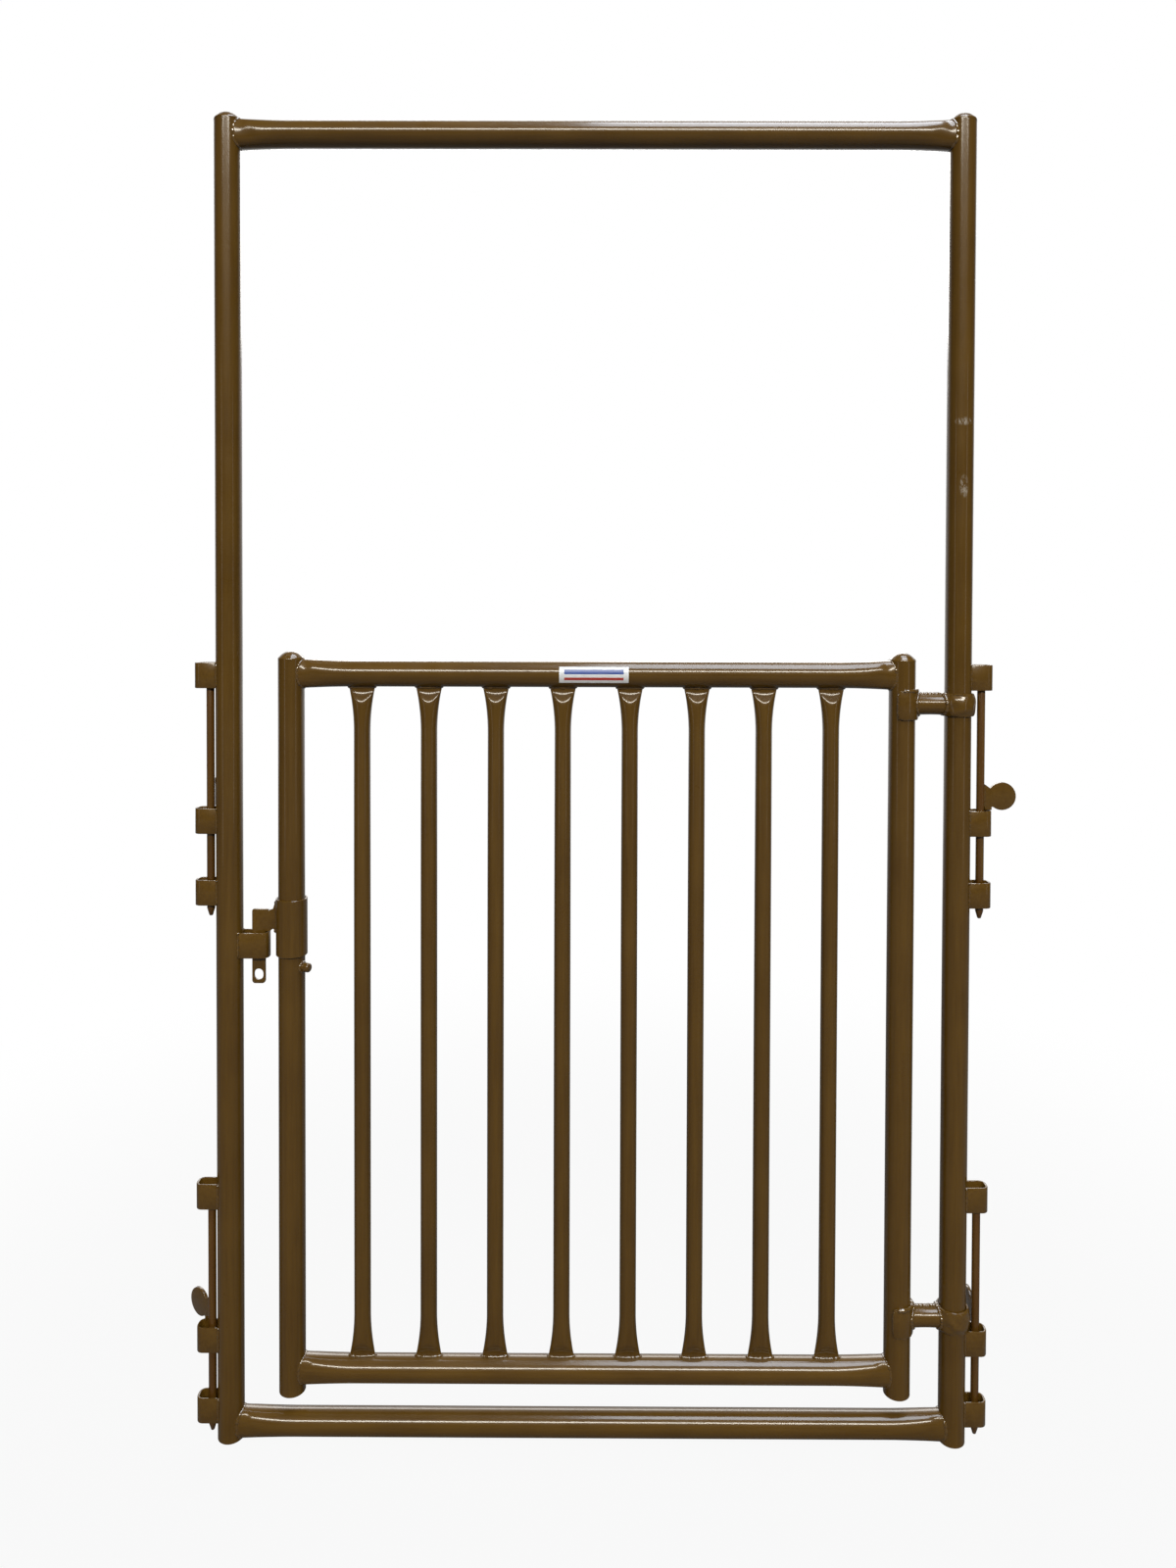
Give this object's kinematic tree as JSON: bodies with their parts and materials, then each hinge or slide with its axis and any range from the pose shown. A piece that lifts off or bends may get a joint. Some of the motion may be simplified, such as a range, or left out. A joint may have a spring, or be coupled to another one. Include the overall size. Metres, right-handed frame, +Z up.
{
  "type": "bow gate",
  "caption": "Tall tube frame for livestock panels with a picketed walk-through gate hung in its lower half, a drop latch, and strap loops with drop pins on both posts.",
  "frame": {"origin": "centre of the hinge post's foot at ground level, on the axis that the gate swings about", "axes": "+Z up along the posts, +X from the latch post to the hinge post and outwards, -Y the front"},
  "size_m": [1.3488, 0.0849, 2.1473],
  "materials": {
    "frame_coat": "glossy powder coat",
    "gate_coat": "glossy powder coat",
    "latch_coat": "glossy powder coat",
    "pin_coat": "glossy powder coat"
  },
  "bodies": {
    "bow_frame": {"latch_post": "frame_coat", "hinge_post": "frame_coat", "latch_post_cap": "frame_coat", "hinge_post_cap": "frame_coat", "latch_post_foot": "frame_coat", "hinge_post_foot": "frame_coat", "header_rail": "frame_coat", "sill_rail": "frame_coat", "latch_keeper": "frame_coat", "latch_side_upper_bottom_loop": "frame_coat", "latch_side_upper_middle_loop": "frame_coat", "latch_side_upper_top_loop": "frame_coat", "latch_side_lower_bottom_loop": "frame_coat", "latch_side_lower_middle_loop": "frame_coat", "latch_side_lower_top_loop": "frame_coat", "hinge_side_upper_bottom_loop": "frame_coat", "hinge_side_upper_middle_loop": "frame_coat", "hinge_side_upper_top_loop": "frame_coat", "hinge_side_lower_bottom_loop": "frame_coat", "hinge_side_lower_middle_loop": "frame_coat", "hinge_side_lower_top_loop": "frame_coat"},
    "gate": {"latch_stile": "gate_coat", "hinge_stile": "gate_coat", "latch_stile_cap": "gate_coat", "hinge_stile_cap": "gate_coat", "latch_stile_plug": "gate_coat", "hinge_stile_plug": "gate_coat", "gate_top_rail": "gate_coat", "gate_bottom_rail": "gate_coat", "picket_1": "gate_coat", "picket_2": "gate_coat", "picket_3": "gate_coat", "picket_4": "gate_coat", "picket_5": "gate_coat", "picket_6": "gate_coat", "picket_7": "gate_coat", "picket_8": "gate_coat", "upper_hinge_collar": "gate_coat", "upper_hinge_arm": "gate_coat", "upper_hinge_saddle": "gate_coat", "lower_hinge_collar": "gate_coat", "lower_hinge_arm": "gate_coat", "lower_hinge_saddle": "gate_coat", "latch_stop_stud": "gate_coat"},
    "latch": {"latch_sleeve": "latch_coat", "latch_tongue": "latch_coat"},
    "latch_side_upper_drop_pin": {"latch_side_upper_pin": "pin_coat"},
    "latch_side_upper_pin_paddle": {"latch_side_upper_paddle": "pin_coat"},
    "latch_side_lower_drop_pin": {"latch_side_lower_pin": "pin_coat"},
    "latch_side_lower_pin_paddle": {"latch_side_lower_paddle": "pin_coat"},
    "hinge_side_upper_drop_pin": {"hinge_side_upper_pin": "pin_coat"},
    "hinge_side_upper_pin_paddle": {"hinge_side_upper_paddle": "pin_coat"},
    "hinge_side_lower_drop_pin": {"hinge_side_lower_pin": "pin_coat"},
    "hinge_side_lower_pin_paddle": {"hinge_side_lower_paddle": "pin_coat"}
  },
  "joints": [
    {"name": "gate_swing", "type": "hinge", "parent": "bow_frame", "child": "gate", "pos_m": [0, 0, 0], "axis": [0, 0, 1], "range_deg": [-100, 135]},
    {"name": "latch_lift", "type": "slide", "parent": "gate", "child": "latch", "axis": [0, 0, 1], "range_m": [0, 0.335]},
    {"name": "latch_side_upper_pin_lift", "type": "slide", "parent": "bow_frame", "child": "latch_side_upper_drop_pin", "axis": [0, 0, 1], "range_m": [0, 0.148]},
    {"name": "latch_side_upper_pin_turn", "type": "hinge", "parent": "latch_side_upper_drop_pin", "child": "latch_side_upper_pin_paddle", "pos_m": [-1.2073, 0, 0], "axis": [0, 0, -1], "range_deg": [-205, 25]},
    {"name": "latch_side_lower_pin_lift", "type": "slide", "parent": "bow_frame", "child": "latch_side_lower_drop_pin", "axis": [0, 0, 1], "range_m": [0, 0.148]},
    {"name": "latch_side_lower_pin_turn", "type": "hinge", "parent": "latch_side_lower_drop_pin", "child": "latch_side_lower_pin_paddle", "pos_m": [-1.2073, 0, 0], "axis": [0, 0, -1], "range_deg": [-152, 78]},
    {"name": "hinge_side_upper_pin_lift", "type": "slide", "parent": "bow_frame", "child": "hinge_side_upper_drop_pin", "axis": [0, 0, 1], "range_m": [0, 0.148]},
    {"name": "hinge_side_upper_pin_turn", "type": "hinge", "parent": "hinge_side_upper_drop_pin", "child": "hinge_side_upper_pin_paddle", "pos_m": [0.0375, 0, 0], "axis": [0, 0, 1], "range_deg": [-115, 115]},
    {"name": "hinge_side_lower_pin_lift", "type": "slide", "parent": "bow_frame", "child": "hinge_side_lower_drop_pin", "axis": [0, 0, 1], "range_m": [0, 0.148]},
    {"name": "hinge_side_lower_pin_turn", "type": "hinge", "parent": "hinge_side_lower_drop_pin", "child": "hinge_side_lower_pin_paddle", "pos_m": [0.0375, 0, 0], "axis": [0, 0, 1], "range_deg": [-205, 25]}
  ]
}
